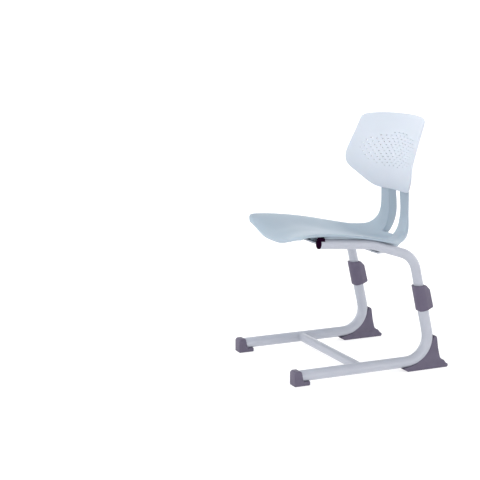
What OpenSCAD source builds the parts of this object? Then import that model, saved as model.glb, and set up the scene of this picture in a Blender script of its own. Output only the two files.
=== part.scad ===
// Height-adjustable student chair: a hollow moulded seat and spine in one piece, a thin curved
// back panel, and two bent side tubes that telescope in a floor frame.
// Frame: +X is the sitter's left, the sitter looks along -Y, +Z is up.
// The origin is on the floor, at the centre of the footprint.

/* [Side frames] */
// Distance between the left and right tubes, centre to centre
frame_w = 380; // [370:1:384]
// Outer diameter of the floor tube and its leg
lower_d = 32; // [32:0.5:34]
// Outer diameter of the seat tube that slides in the leg
upper_d = 28; // [27:0.5:28]
// Outer diameter of the bar between the floor tubes
bar_d = 27; // [22:1:28]
// Wall of every steel tube
tube_wall = 1.5; // [1.5:0.1:1.6]
// Centre-line radius of the two large bends
bend_r = 70; // [66:1:74]
// Lean of the legs from upright, tops forward
lean = 13; // [12:0.5:14]
// Height of the floor tube's axis
runner_z = 26; // [26:0.5:28]
// Where the floor tube's axis would meet the leg's axis, behind the centre
heel_y = 206; // [204:1:208]
// Front end of the floor tube
runner_front_y = -232; // [-236:1:-230]
// Where the bar crosses, measured along Y
bar_y = -33; // [-60:1:0]

/* [Seat tubes] */
// From the floor corner up the leg to the corner under the seat
leg_run = 320.6; // [318:0.2:322]
// Downward slope of the seat tube just ahead of the leg
rear_slope = 18.3; // [18:0.1:19]
// Downward slope of the seat tube along the seat
front_slope = 4.5; // [4:0.1:5]
// Seat tube between the corner and the knee
rear_run = 147.4; // [146:0.2:149]
// Seat tube ahead of the knee
front_run = 166.5; // [164:0.5:168]

/* [Height clamp] */
// How far the seat can be raised from where it stands
rise = 40; // [10:1:40]
// How far the seat can be lowered from where it stands
drop = 30; // [10:1:30]
// Place of the lower clamp screw, up the leg from the floor corner
clamp_low = 173; // [172:0.5:175]
// Distance between the two clamp screws of one leg
clamp_pitch = 28; // [26:0.5:28]
// Diameter of the clamp screws
clamp_d = 8; // [8:1:8]

/* [Seat and back] */
// Width of the seat
seat_w = 410; // [404:1:412]
// Wall of the hollow seat moulding
seat_wall = 3.5; // [2.5:0.1:4]
// Width of the slot up the middle of the spine
slot_w = 62; // [50:1:66]
// Width of the back panel at its widest
panel_w = 384.6; // [370:0.1:390]
// Thickness of the back panel
panel_t = 4.5; // [4:0.1:5]
// Radius of the back panel's curve, seen from above
panel_r = 350; // [340:1:400]

/* [Hidden] */
$fn = 64;

STEEL = "#c3c8cf";
SHELL = "#afbcc8";
PANEL = "#dde4ee";
PLUM = "#6c6476";
MAROON = "#33182f";
ZINC = "#b9bcc0";
BRASS = "#c2a45a";

side_x = frame_w / 2;
lower_r = lower_d / 2;
upper_r = upper_d / 2;
bar_r = bar_d / 2;

// ---- Points in a side plane: x is back, y is up ----
function unit(v) = v / norm(v);
function turn_at(a, b, c) = acos(unit(b - a) * unit(c - b));
function trim_at(a, b, c, r) = r * tan(turn_at(a, b, c) / 2);
function turns_left(a, b, c) = (b.x - a.x) * (c.y - b.y) - (b.y - a.y) * (c.x - b.x) > 0;

up_leg = [-sin(lean), cos(lean)];
behind_leg = [cos(lean), sin(lean)];
corner_low = [heel_y, runner_z];
// A point t up the leg and d behind its axis
function leg(t, d = 0) = corner_low + t * up_leg + d * behind_leg;

clamp_high = clamp_low + clamp_pitch;
leg_top = 218;
seat_tube_end = clamp_low - rise - 12;
corner_high = leg(leg_run);
knee = corner_high + rear_run * [-cos(rear_slope), sin(rear_slope)];
seat_tube_front = knee + front_run * [-cos(front_slope), sin(front_slope)];
knee_r = 150;
bend_swell = 0.15;
bend_lap = 0.5;
lower_path = [[runner_front_y, runner_z], corner_low, leg(leg_top)];
upper_path = [seat_tube_front, knee, corner_high, leg(seat_tube_end)];

// Places a shape drawn in the side plane at a distance x from the middle of the chair
module in_side_plane(x = 0) {
    translate([x, 0, 0])
        rotate([90, 0, 90])
            children();
}

// Places a shape at a point of the leg, with its z axis up the leg and its x axis behind it
module on_leg(t, x = side_x) {
    in_side_plane(x)
        translate([leg(t).x, leg(t).y, 0])
            rotate([0, 0, lean])
                rotate([-90, 0, 0])
                    children();
}

// A cylinder along a line of the side plane
module rod(a, b, r) {
    translate([a.x, a.y, 0])
        rotate([0, 0, atan2(b.y - a.y, b.x - a.x)])
            rotate([0, 90, 0])
                cylinder(r = r, h = norm(b - a));
}

// Straight length i of a path, between the bends at its ends
function straight(path, bends, i) = let (
        last = len(path) - 1,
        a = path[i],
        b = path[i + 1],
        along_it = unit(b - a))
    [i == 0 ? a : a + along_it * trim_at(path[i - 1], a, b, bends[i - 1]),
        i == last - 1 ? b : b - along_it * trim_at(a, b, path[i + 2], bends[i])];

// Bend i of a path, swept by a 2D profile and longer by lap at both ends
module bend(path, bends, i, lap) {
    a = path[i];
    b = path[i + 1];
    c = path[i + 2];
    r = bends[i];
    swept = turn_at(a, b, c);
    centre = b + unit(unit(a - b) + unit(c - b)) * r / cos(swept / 2);
    first = b + unit((turns_left(a, b, c) ? a : c) - b) * trim_at(a, b, c, r);
    extra = lap / r * 180 / PI;
    translate([centre.x, centre.y, 0])
        rotate([0, 0, atan2(first.y - centre.y, first.x - centre.x) - extra])
            rotate_extrude(angle = swept + 2 * extra)
                translate([r, 0])
                    children();
}

// A path whose two ends run on by 1 mm
function stretched(path) = let (last = len(path) - 1)
    [for (i = [0 : last]) i == 0 ? path[0] + unit(path[0] - path[1])
        : i == last ? path[last] + unit(path[last] - path[last - 1]) : path[i]];

// A bent bar in the side plane. Its bends lap a little over its straight lengths, and are
// fatter by bend_swell, as a tube's are where the bender has squeezed it.
module bent_bar(path, bends, r) {
    for (i = [0 : len(path) - 2]) {
        ends = straight(path, bends, i);
        rod(ends[0], ends[1], r);
    }
    for (i = [0 : len(bends) - 1])
        bend(path, bends, i, bend_lap)
            circle(r = r + bend_swell);
}

// A bent tube, open right through
module bent_tube(path, bends, r) {
    difference() {
        bent_bar(path, bends, r);
        bent_bar(stretched(path), bends, r - tube_wall);
    }
}

module both_sides() {
    children();
    mirror([1, 0, 0])
        children();
}

// ---- Side frames ----
clamp_hole_r = clamp_d / 2 + 0.4;

module lower_tube() {
    color(STEEL)
        difference() {
            in_side_plane(side_x)
                bent_tube(lower_path, [bend_r], lower_r);
            for (t = [clamp_low, clamp_high])
                in_side_plane(side_x)
                    rod(leg(t), leg(t, lower_r + 4), clamp_hole_r);
        }
}

module upper_tube() {
    slot_low = clamp_low - rise;
    slot_high = clamp_high + drop;
    color(STEEL)
        difference() {
            in_side_plane(side_x)
                bent_tube(upper_path, [knee_r, bend_r], upper_r);
            on_leg(slot_low - clamp_hole_r)
                translate([2, -clamp_hole_r, 0])
                    cube([upper_r + 1, 2 * clamp_hole_r, slot_high - slot_low + 2 * clamp_hole_r]);
        }
}

module left_lower_tube() {
    lower_tube();
}

module right_lower_tube() {
    mirror([1, 0, 0])
        lower_tube();
}

module left_upper_tube() {
    upper_tube();
}

module right_upper_tube() {
    mirror([1, 0, 0])
        upper_tube();
}

// Bar between the floor tubes, its ends shaped to their sides for welding
module floor_crossbar() {
    color(STEEL)
        difference() {
            translate([-side_x, bar_y, runner_z])
                rotate([0, 90, 0])
                    cylinder(r = bar_r, h = frame_w);
            translate([-side_x - 1, bar_y, runner_z])
                rotate([0, 90, 0])
                    cylinder(r = bar_r - tube_wall, h = frame_w + 2);
            both_sides()
                translate([side_x, bar_y - bar_d, runner_z])
                    rotate([-90, 0, 0])
                        cylinder(r = lower_r, h = 2 * bar_d);
        }
}

// ---- Height clamp ----
sleeve_low = 156.5;
sleeve_top_front = 236;
sleeve_top_rear = 229.3;
sleeve_r = 20.5;
wedge_back = 29;
wedge_half = 12;
washer_r = 8;
washer_t = 1.6;
head_r = 6.5;
head_h = 8;
head_seat = 20;

// Clamp cover: round in front, with a flat-backed wedge behind that hides the screws
module sleeve() {
    side_outline = [[-sleeve_r - 1, sleeve_low + 7], [-sleeve_r + 4.5, sleeve_low], [wedge_back - 2.5, sleeve_low],
        [wedge_back, sleeve_low + 3], [wedge_back - 1.6, 211.5], [wedge_back - 4, 215.5],
        [15.5, sleeve_top_rear], [-sleeve_r - 1, sleeve_top_front]];
    color(PLUM)
        difference() {
            intersection() {
                in_side_plane(side_x - 30)
                    linear_extrude(60)
                        polygon([for (p = side_outline) leg(p.y, p.x)]);
                on_leg(sleeve_low - 2)
                    linear_extrude(90)
                        union() {
                            circle(r = sleeve_r);
                            polygon([[0, -sleeve_r], [8, -sleeve_r + 0.6], [wedge_back + 1, -wedge_half],
                                [wedge_back + 1, wedge_half], [8, sleeve_r - 0.6], [0, sleeve_r]]);
                        }
            }
            in_side_plane(side_x)
                rod(leg(sleeve_low - 5), leg(leg_top + 0.3), lower_r + 0.05);
            in_side_plane(side_x)
                rod(leg(leg_top - 5), leg(sleeve_top_front + 6), upper_r + 0.4);
            for (t = [clamp_low, clamp_high])
                in_side_plane(side_x) {
                    rod(leg(t), leg(t, wedge_back + 5), clamp_hole_r);
                    rod(leg(t, head_seat - washer_t), leg(t, wedge_back + 5), washer_r + 0.2);
                }
        }
}

module left_sleeve() {
    sleeve();
}

module right_sleeve() {
    mirror([1, 0, 0])
        sleeve();
}

// Tapped bar inside the seat tube; tightening the screws pulls it and the tube against the leg
module nut_plate() {
    color(ZINC)
        difference() {
            intersection() {
                on_leg(clamp_low - 12)
                    cylinder(r = upper_r - tube_wall - 0.35, h = clamp_pitch + 24);
                on_leg(clamp_low - 13)
                    translate([4, -9, 0])
                        cube([20, 18, clamp_pitch + 26]);
            }
            for (t = [clamp_low, clamp_high])
                in_side_plane(side_x)
                    rod(leg(t), leg(t, upper_r), clamp_d / 2 + 0.05);
        }
}

module left_nut_plate() {
    nut_plate();
}

module right_nut_plate() {
    mirror([1, 0, 0])
        nut_plate();
}

// Hexagon socket screws, two in each leg
module clamp_screws() {
    color(ZINC)
        both_sides()
            for (t = [clamp_low, clamp_high])
                in_side_plane(side_x)
                    difference() {
                        union() {
                            rod(leg(t, 3), leg(t, head_seat), clamp_d / 2);
                            rod(leg(t, head_seat), leg(t, head_seat + head_h), head_r);
                        }
                        translate([leg(t, head_seat + 4).x, leg(t, head_seat + 4).y, 0])
                            rotate([0, 0, lean])
                                rotate([0, 90, 0])
                                    cylinder(r = 3.5, h = 6, $fn = 6);
                    }
}

module clamp_washers() {
    color(ZINC)
        both_sides()
            for (t = [clamp_low, clamp_high])
                in_side_plane(side_x)
                    difference() {
                        rod(leg(t, head_seat - washer_t), leg(t, head_seat), washer_r);
                        rod(leg(t, head_seat - washer_t - 1), leg(t, head_seat + 1), clamp_hole_r);
                    }
}

// ---- Plugs, feet and their screws ----
// Plug of the seat tube, with a raised pad under the front of the seat
module tube_cap() {
    pad_up = 7.5;
    color(MAROON)
        in_side_plane(side_x)
            translate([seat_tube_front.x, seat_tube_front.y, 0])
                rotate([0, 0, -front_slope])
                    rotate([0, -90, 0])
                        difference() {
                            union() {
                                linear_extrude(3)
                                    union() {
                                        circle(r = upper_r + 0.3);
                                        translate([0, pad_up])
                                            circle(r = upper_r - 2.5);
                                        translate([-upper_r + 2.5, 0])
                                            square([2 * upper_r - 5, pad_up]);
                                    }
                                translate([0, 0, -12])
                                    linear_extrude(12.5)
                                        translate([0, pad_up])
                                            circle(r = upper_r - 2.5);
                                translate([0, 0, -22])
                                    cylinder(r = upper_r - tube_wall - 0.05, h = 22.5);
                            }
                            translate([0, 0, -23])
                                difference() {
                                    cylinder(r = upper_r + 0.05, h = 23);
                                    translate([0, 0, -1])
                                        cylinder(r = upper_r - tube_wall - 0.04, h = 25);
                                }
                            translate([0, 0, -23])
                                cylinder(r = upper_r - tube_wall - 3, h = 20);
                        }
}

module left_tube_cap() {
    tube_cap();
}

module right_tube_cap() {
    mirror([1, 0, 0])
        tube_cap();
}

foot_screw_r = 2.4;
foot_screw_y = [-216, 150];
sole_t = runner_z - lower_r;

module foot_screw_holes() {
    for (y = foot_screw_y)
        translate([side_x, y, 0]) {
            translate([0, 0, -1])
                cylinder(r = foot_screw_r, h = 20);
            translate([0, 0, -1])
                cylinder(r = 5.2, h = 5);
        }
}

// Front foot: an L of plastic over the end of the floor tube, with a plug inside it
module front_foot() {
    toe = -252;
    top = runner_z + lower_r + 0.5;
    color(PLUM)
        difference() {
            union() {
                in_side_plane(side_x - 17.5)
                    linear_extrude(35)
                        union() {
                            polygon([[toe, 0], [-203, 0], [-203, sole_t + 3], [-223, sole_t + 3], [-230, top],
                                [toe + 8, top], [toe, top - 8]]);
                            translate([toe + 8, top - 8])
                                circle(r = 8);
                        }
                translate([side_x, runner_front_y - 1, runner_z])
                    rotate([-90, 0, 0])
                        cylinder(r = lower_r - tube_wall - 0.05, h = 27);
            }
            difference() {
                translate([side_x, runner_front_y, runner_z])
                    rotate([-90, 0, 0])
                        cylinder(r = lower_r + 0.05, h = 60);
                translate([side_x, runner_front_y - 1, runner_z])
                    rotate([-90, 0, 0])
                        cylinder(r = lower_r - tube_wall - 0.04, h = 26.5);
            }
            translate([side_x, runner_front_y + 3, runner_z])
                rotate([-90, 0, 0])
                    cylinder(r = lower_r - tube_wall - 3, h = 30);
            foot_screw_holes();
        }
}

module left_front_foot() {
    front_foot();
}

module right_front_foot() {
    mirror([1, 0, 0])
        front_foot();
}

// Heel foot: a fin behind the bend, standing on a long sole
module heel_foot() {
    tail = 252;
    fin_top = [217, 89];
    color(PLUM)
        difference() {
            intersection() {
                in_side_plane(side_x - 30)
                    linear_extrude(60)
                        union() {
                            polygon([[100, sole_t], [116, 0], [tail - 6, 0], [tail - 6, 12], [239, 22], [226, 30],
                                [220, 60], fin_top, [208, 97], [190, 60], [150, 22], [118, sole_t + 4]]);
                            translate([tail - 6, 6])
                                circle(r = 6);
                        }
                translate([side_x, 300, 0])
                    rotate([90, 0, 0])
                        linear_extrude(300)
                            polygon([[-16.5, 0], [16.5, 0], [17.5, 10], [14, 30], [9.5, 97.5], [-9.5, 97.5],
                                [-14, 30], [-17.5, 10]]);
            }
            in_side_plane(side_x)
                bent_bar(lower_path, [bend_r], lower_r + 0.05);
            foot_screw_holes();
        }
}

module left_heel_foot() {
    heel_foot();
}

module right_heel_foot() {
    mirror([1, 0, 0])
        heel_foot();
}

// One pan-head screw up through each foot into the tube above it
module foot_screws() {
    color(ZINC)
        both_sides()
            for (y = foot_screw_y)
                translate([side_x, y, 0])
                    difference() {
                        union() {
                            translate([0, 0, 1.5])
                                cylinder(r = 4.8, h = 2.5);
                            translate([0, 0, 3])
                                cylinder(r = foot_screw_r - 0.05, h = 13);
                        }
                        translate([0, 0, 1])
                            cylinder(r = 1.6, h = 2, $fn = 6);
                    }
}

// ---- Seat moulding ----
// Each rail is a line along the moulding, from the front lip, over the seat and up the spine.
// A cross-section hangs between four of them at every station: the middle of the top face, the
// middle of the underside, and the upper and lower corners of the edge.
TOP_RAIL = [[-226, 383], [-220, 391], [-196, 402], [-150, 409], [-100, 404.5], [-50, 395], [0, 384],
    [50, 374], [100, 366], [140, 365], [162, 377], [176, 398], [182, 425], [183.5, 456], [180, 500],
    [177, 560], [181, 605], [192, 645]];
UNDER_RAIL = [[-225, 379], [-216, 380.5], [-194, 388], [-150, 397], [-100, 389], [-50, 375], [0, 363.5],
    [50, 354], [100, 349], [138, 352], [170, 361], [191, 380], [206, 412], [211, 448], [207, 500],
    [201.5, 560], [202, 605], [206, 645]];
EDGE_TOP_RAIL = [[-220, 412.5], [-212.5, 424], [-196, 427.5], [-148, 425], [-100, 420], [-50, 413],
    [0, 404], [40, 395.5], [72, 390], [105, 387], [139, 388.5], [159, 395], [174.5, 415], [180.5, 446],
    [180.5, 500], [178.5, 560], [182.5, 605], [193, 645]];
EDGE_UNDER_RAIL = [[-219.5, 408.5], [-211, 416.5], [-194, 419], [-148, 418.5], [-100, 413.5], [-50, 405],
    [0, 395], [40, 386], [72, 377], [105, 371], [138, 372], [162, 382], [179.5, 412], [185, 444],
    [185, 500], [183.5, 560], [188, 605], [198, 645]];
HALF_WIDTHS = [170, 190, 203.5, 205, 205, 205, 205, 204, 188, 143, 117, 102, 87, 78, 77, 77, 78, 68];
// Rise of the flange's underside over the seat tube
ARCHES = [0, 0, 0, 0, 0, 1.5, 4.5, 3, 0, 0, 0, 0, 0, 0, 0, 0, 0, 0];
// Where across the half width the top face leaves the dish, and where it reaches the rim
DISH_FROM = [0.16, 0.14, 0.1, 0.12, 0.2, 0.22, 0.22, 0.22, 0.22, 0.2, 0.2, 0.2, 0.2, 0.3, 0.3, 0.3, 0.3, 0.3];
DISH_TO = [1.14, 1.11, 1.05, 0.98, 0.93, 0.92, 0.92, 0.92, 0.92, 0.95, 1, 1, 1, 1, 1, 1, 1, 1];
// The same for the underside: the belly between the tubes and the flange beyond it
BELLY_FROM = [0.16, 0.14, 0.2, 0.45, 0.55, 0.6, 0.64, 0.64, 0.64, 0.56, 0.5, 0.45, 0.4, 0.36, 0.36, 0.36, 0.36, 0.36];
BELLY_TO = [1.14, 1.11, 0.95, 0.87, 0.86, 0.86, 0.86, 0.86, 0.92, 0.98, 1, 1, 1, 1, 1, 1, 1, 1];
ACROSS = [0, 0.2, 0.36, 0.5, 0.6, 0.69, 0.77, 0.84, 0.89, 0.94, 0.98, 1];
STEPS = 2;
STATIONS = len(TOP_RAIL) - 1;

function ease(a, b, x) = let (t = min(1, max(0, (x - a) / (b - a)))) t * t * (3 - 2 * t);

// A smooth curve through a list of values, read at any place s along it
function along(list, s) = let (
        n = len(list) - 1,
        i = min(n - 1, floor(s)),
        t = s - i,
        p1 = list[i],
        p2 = list[i + 1],
        p0 = i > 0 ? list[i - 1] : 2 * p1 - p2,
        p3 = i < n - 1 ? list[i + 2] : 2 * p2 - p1)
    0.5 * (2 * p1 + (p2 - p0) * t + (2 * p0 - 5 * p1 + 4 * p2 - p3) * t * t
        + (3 * p1 - p0 - 3 * p2 + p3) * t * t * t);

function top_point(s, q) = let (
        p = along(TOP_RAIL, s),
        e = along(EDGE_TOP_RAIL, s),
        k = ease(along(DISH_FROM, s), along(DISH_TO, s), abs(q)))
    [q * along(HALF_WIDTHS, s) * seat_w / 410, p.x + (e.x - p.x) * k, p.y + (e.y - p.y) * k];

function under_point(s, q) = let (
        p = along(UNDER_RAIL, s),
        e = along(EDGE_UNDER_RAIL, s),
        k = ease(along(BELLY_FROM, s), along(BELLY_TO, s), abs(q)),
        arch = along(ARCHES, s) * ease(0.8, 0.89, abs(q)) * (1 - ease(0.95, 1, abs(q))))
    [q * along(HALF_WIDTHS, s) * seat_w / 410, p.x + (e.x - p.x) * k, p.y + (e.y - p.y) * k + arch];

// A closed skin over rings of equal length
module skin(rings) {
    n = len(rings[0]);
    m = len(rings);
    polyhedron(
        points = [for (ring = rings) each ring],
        faces = concat(
            [[for (j = [0 : n - 1]) j]],
            [for (i = [0 : m - 2]) for (j = [0 : n - 1]) let (k = (j + 1) % n)
                each [[i * n + j, (i + 1) * n + j, (i + 1) * n + k], [i * n + j, (i + 1) * n + k, i * n + k]]],
            [[for (j = [n - 1 : -1 : 0]) (m - 1) * n + j]]),
        convexity = 8);
}

function mirrored(list) = concat([for (i = [len(list) - 1 : -1 : 1]) -list[i]], list);

module seat_outside() {
    qs = mirrored(ACROSS);
    skin([for (i = [0 : STATIONS * STEPS]) let (s = i / STEPS) concat(
        [for (q = qs) top_point(s, q)],
        [for (k = [len(qs) - 1 : -1 : 0]) under_point(s, qs[k])])]);
}

// The air space inside the moulding, one wall inside its faces
HOLLOW_FROM = 2.9;
HOLLOW_TO = 9.5;
HOLLOW_RINGS = 12;
module seat_hollow() {
    qs = [for (k = [-6 : 6]) 0.72 * sin(k * 15)];
    skin([for (i = [0 : HOLLOW_RINGS]) let (s = HOLLOW_FROM + (HOLLOW_TO - HOLLOW_FROM) * i / HOLLOW_RINGS) concat(
        [for (q = qs) let (a = top_point(s, q), b = under_point(s, q)) a + unit(b - a) * seat_wall],
        [for (k = [len(qs) - 1 : -1 : 0]) let (a = top_point(s, qs[k]), b = under_point(s, qs[k]))
            b - unit(b - a) * seat_wall])]);
}

// Seat screws: half spacing across, places along Y, and the top of each cradle
seat_screw_x = 95;
cradle_y = [-140, 55];
cradle_top = [391.5, 350];
cradle_flat = 150;
cradle_t = 4;
cradle_w = 32;
insert_h = 12;
insert_r = 4.5;
// Hole under the seat that the moulding was blown through
vent_r = 4;

module seat_screw_places() {
    for (i = [0, 1])
        for (x = [-seat_screw_x, seat_screw_x])
            translate([x, cradle_y[i], cradle_top[i]])
                children();
}

// Back screws: half spacing across and heights
back_screw_x = 56;
back_screw_z = [532, 612];
back_head_y = [190, 191.5];
SLOT_HIGH = 566;
slot_corner = 12;

module seat_shell() {
    color(SHELL)
        difference() {
            union() {
                seat_outside();
                seat_screw_places()
                    cylinder(r = 9, h = 8, $fn = 24);
            }
            difference() {
                seat_hollow();
                seat_screw_places()
                    cylinder(r = 9, h = 24, $fn = 24);
            }
            seat_screw_places()
                translate([0, 0, -1])
                    cylinder(r = insert_r, h = insert_h + 1, $fn = 24);
            translate([0, 0, 342])
                cylinder(r = vent_r, h = 30, $fn = 24);
            spine_slot();
            for (i = [0, 1])
                for (x = [-back_screw_x, back_screw_x])
                    translate([x, 150, back_screw_z[i]])
                        rotate([-90, 0, 0]) {
                            cylinder(r = 2.6, h = 80, $fn = 24);
                            translate([0, 0, back_head_y[i] - 150])
                                cylinder(r = 6, h = 40, $fn = 24);
                        }
        }
}

// The slot up the spine: its foot slopes with the draw of the mould, its top corners are round
module spine_slot() {
    foot_front = [150, 376.8];
    foot_back = [240, 348.9];
    in_side_plane(-slot_w / 2)
        linear_extrude(slot_w)
            polygon([foot_front, foot_back, [foot_back.x, SLOT_HIGH - slot_corner],
                [foot_front.x, SLOT_HIGH - slot_corner]]);
    translate([0, foot_back.x, SLOT_HIGH - slot_corner])
        rotate([90, 0, 0])
            linear_extrude(foot_back.x - foot_front.x) {
                for (x = [-1, 1])
                    translate([x * (slot_w / 2 - slot_corner), 0])
                        circle(r = slot_corner);
                translate([-slot_w / 2 + slot_corner, -1])
                    square([slot_w - 2 * slot_corner, slot_corner + 1]);
            }
}

module seat_inserts() {
    color(BRASS)
        seat_screw_places()
            difference() {
                cylinder(r = insert_r - 0.02, h = insert_h);
                translate([0, 0, -1])
                    cylinder(r = 3.02, h = insert_h + 2);
            }
}

module seat_screws() {
    color(ZINC)
        seat_screw_places()
            translate([0, 0, -cradle_t - 1.5]) {
                cylinder(r = 3, h = cradle_t + 1.5 + 10);
                difference() {
                    translate([0, 0, -4])
                        cylinder(r = 5.8, h = 4);
                    translate([0, 0, -5])
                        cylinder(r = 2.3, h = 3.5, $fn = 6);
                }
            }
}

module seat_washers() {
    color(ZINC)
        seat_screw_places()
            translate([0, 0, -cradle_t - 1.5])
                difference() {
                    cylinder(r = 8, h = 1.5);
                    translate([0, 0, -1])
                        cylinder(r = 3.2, h = 4);
                }
}

// Height of a seat tube's axis at a place along Y
function seat_tube_z(y) = knee.y + (knee.x - y) * tan(y < knee.x ? front_slope : rear_slope);

// Flat bar under the seat, its ends running up or down to the seat tubes' axes
module cradle(i) {
    low = cradle_top[i];
    end_z = seat_tube_z(cradle_y[i]) + cradle_t / 2;
    end_t = cradle_t * norm([side_x - cradle_flat, end_z - low]) / (side_x - cradle_flat);
    right_half = [[cradle_flat, low - cradle_t], [side_x, end_z - end_t], [side_x, end_z], [cradle_flat, low]];
    color(STEEL)
        difference() {
            translate([0, cradle_y[i] + cradle_w / 2, 0])
                rotate([90, 0, 0])
                    linear_extrude(cradle_w)
                        polygon(concat(right_half, [for (k = [3 : -1 : 0]) [-right_half[k].x, right_half[k].y]]));
            both_sides()
                in_side_plane(side_x)
                    bent_bar(upper_path, [knee_r, bend_r], upper_r);
            seat_screw_places()
                translate([0, 0, -cradle_t - 3])
                    cylinder(r = 3.3, h = cradle_t + 6);
        }
}

module front_seat_cradle() {
    cradle(0);
}

module rear_seat_cradle() {
    cradle(1);
}

// ---- Back panel ----
// The front face's line up the middle: hollow at the waist, then leaning back
PANEL_LINE = [[180, 504], [174.5, 527], [172, 560], [175, 598], [186.5, 641], [198, 678], [208, 708], [215.5, 732]];
// Lower and upper edge of the right half, from the middle outwards
PANEL_FOOT = [[0, 504], [50, 504], [76, 504.5], [98, 509], [120, 520], [148, 539], [176, 559], [187, 573], [192.3, 594]];
PANEL_HEAD = [[0, 732], [60, 731.5], [110, 730], [146, 727], [166, 722], [176, 711], [182, 671], [187, 641], [192.3, 606]];
PANEL_ROWS = 14;
PANEL_COLS = 3;

function panel_mid_y(z) = let (
        i = max([0, for (k = [0 : len(PANEL_LINE) - 2]) if (PANEL_LINE[k].y <= z) k]),
        t = max(0, z - PANEL_LINE[i].y) / (PANEL_LINE[i + 1].y - PANEL_LINE[i].y))
    along(PANEL_LINE, i + t).x;

function panel_front_y(x, z) = panel_mid_y(z) - panel_r + sqrt(panel_r * panel_r - x * x);

function panel_column(s, side) = let (
        foot = along(PANEL_FOOT, s),
        head = along(PANEL_HEAD, s),
        widen = panel_w / 384.6)
    [for (j = [0 : PANEL_ROWS]) let (p = foot + (head - foot) * j / PANEL_ROWS) [side * p.x * widen, p.y]];

module backrest_panel() {
    last = len(PANEL_FOOT) - 1;
    places = concat([for (i = [last * PANEL_COLS : -1 : 1]) [i / PANEL_COLS, -1]],
        [for (i = [0 : last * PANEL_COLS]) [i / PANEL_COLS, 1]]);
    columns = [for (p = places) panel_column(p[0], p[1])];
    color(PANEL)
        difference() {
            union() {
                skin([for (column = columns) concat(
                    [for (p = column) [p.x, panel_front_y(p.x, p.y) + panel_t, p.y]],
                    [for (k = [PANEL_ROWS : -1 : 0]) let (p = column[k])
                        [p.x, panel_front_y(p.x, p.y), p.y]])]);
                panel_bosses();
            }
            for (i = [0, 1])
                for (x = [-back_screw_x, back_screw_x])
                    translate([x, back_boss_y(i) - 0.8, back_screw_z[i]])
                        rotate([-90, 0, 0])
                            cylinder(r = 1.9, h = 30);
        }
}

// Where the bosses stand: from inside the panel back to the spine's front face
function back_boss_y(i) = panel_front_y(back_screw_x, back_screw_z[i]) + panel_t;

module panel_bosses() {
    for (i = [0, 1])
        for (x = [-back_screw_x, back_screw_x])
            translate([x, back_boss_y(i) - 2.5, back_screw_z[i]])
                rotate([-90, 0, 0])
                    cylinder(r = 6, h = 8);
}

// Self-tapping screws from behind, through the spine into the panel's bosses
module backrest_screws() {
    color(ZINC)
        for (i = [0, 1])
            for (x = [-back_screw_x, back_screw_x])
                translate([x, 0, back_screw_z[i]])
                    rotate([-90, 0, 0]) {
                        translate([0, 0, back_boss_y(i)])
                            cylinder(r = 1.9, h = back_head_y[i] - back_boss_y(i));
                        difference() {
                            translate([0, 0, back_head_y[i]])
                                cylinder(r = 4.6, h = 3);
                            translate([0, 0, back_head_y[i] + 1.5])
                                cylinder(r = 1.8, h = 2, $fn = 6);
                        }
                    }
}

seat_shell();
backrest_panel();
backrest_screws();
seat_inserts();
seat_screws();
seat_washers();
front_seat_cradle();
rear_seat_cradle();
left_upper_tube();
right_upper_tube();
left_tube_cap();
right_tube_cap();
left_lower_tube();
right_lower_tube();
floor_crossbar();
left_sleeve();
right_sleeve();
left_nut_plate();
right_nut_plate();
clamp_screws();
clamp_washers();
left_front_foot();
right_front_foot();
left_heel_foot();
right_heel_foot();
foot_screws();
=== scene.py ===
"""Height-adjustable student chair: its moulded parts, finishes, floor, light and camera."""

import logging
import math
from dataclasses import dataclass
from enum import Enum
from typing import Callable, Iterable, Sequence

import bmesh
import bpy
from mathutils import Matrix, Vector


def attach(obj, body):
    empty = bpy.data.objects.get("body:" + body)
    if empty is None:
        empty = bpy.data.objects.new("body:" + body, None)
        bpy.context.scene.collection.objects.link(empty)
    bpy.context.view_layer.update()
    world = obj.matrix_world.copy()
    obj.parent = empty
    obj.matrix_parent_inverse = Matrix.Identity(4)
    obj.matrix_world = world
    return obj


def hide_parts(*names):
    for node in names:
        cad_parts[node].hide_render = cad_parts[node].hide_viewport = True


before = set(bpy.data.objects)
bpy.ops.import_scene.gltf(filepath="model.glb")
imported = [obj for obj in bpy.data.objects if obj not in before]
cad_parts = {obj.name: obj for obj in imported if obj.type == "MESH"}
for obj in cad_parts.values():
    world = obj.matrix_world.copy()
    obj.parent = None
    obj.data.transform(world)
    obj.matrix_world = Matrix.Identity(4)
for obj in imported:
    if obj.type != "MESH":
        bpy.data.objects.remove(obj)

LOG = logging.getLogger("chair")
MM = 0.001
MERGE_MM = 0.01
TINY = 1e-6
Point = tuple[float, float]
Colour = tuple[float, float, float]


# ---------------------------------------------------------------- choices and shared sizes


class Side(Enum):
    """Which side of the chair a piece is on; the value is the sign of its X."""

    LEFT = 1
    RIGHT = -1

    @property
    def word(self) -> str:
        """The side's name as the nodes have it."""
        return self.name.lower()


class Body(Enum):
    """The two rigid halves of the chair, named as in the record."""

    FLOOR = "floor_frame"
    SEAT = "seat_frame"


class Pick(Enum):
    """What is picked while a piece is open for editing."""

    CORNERS = "VERT"
    EDGES = "EDGE"
    FACES = "FACE"


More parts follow.
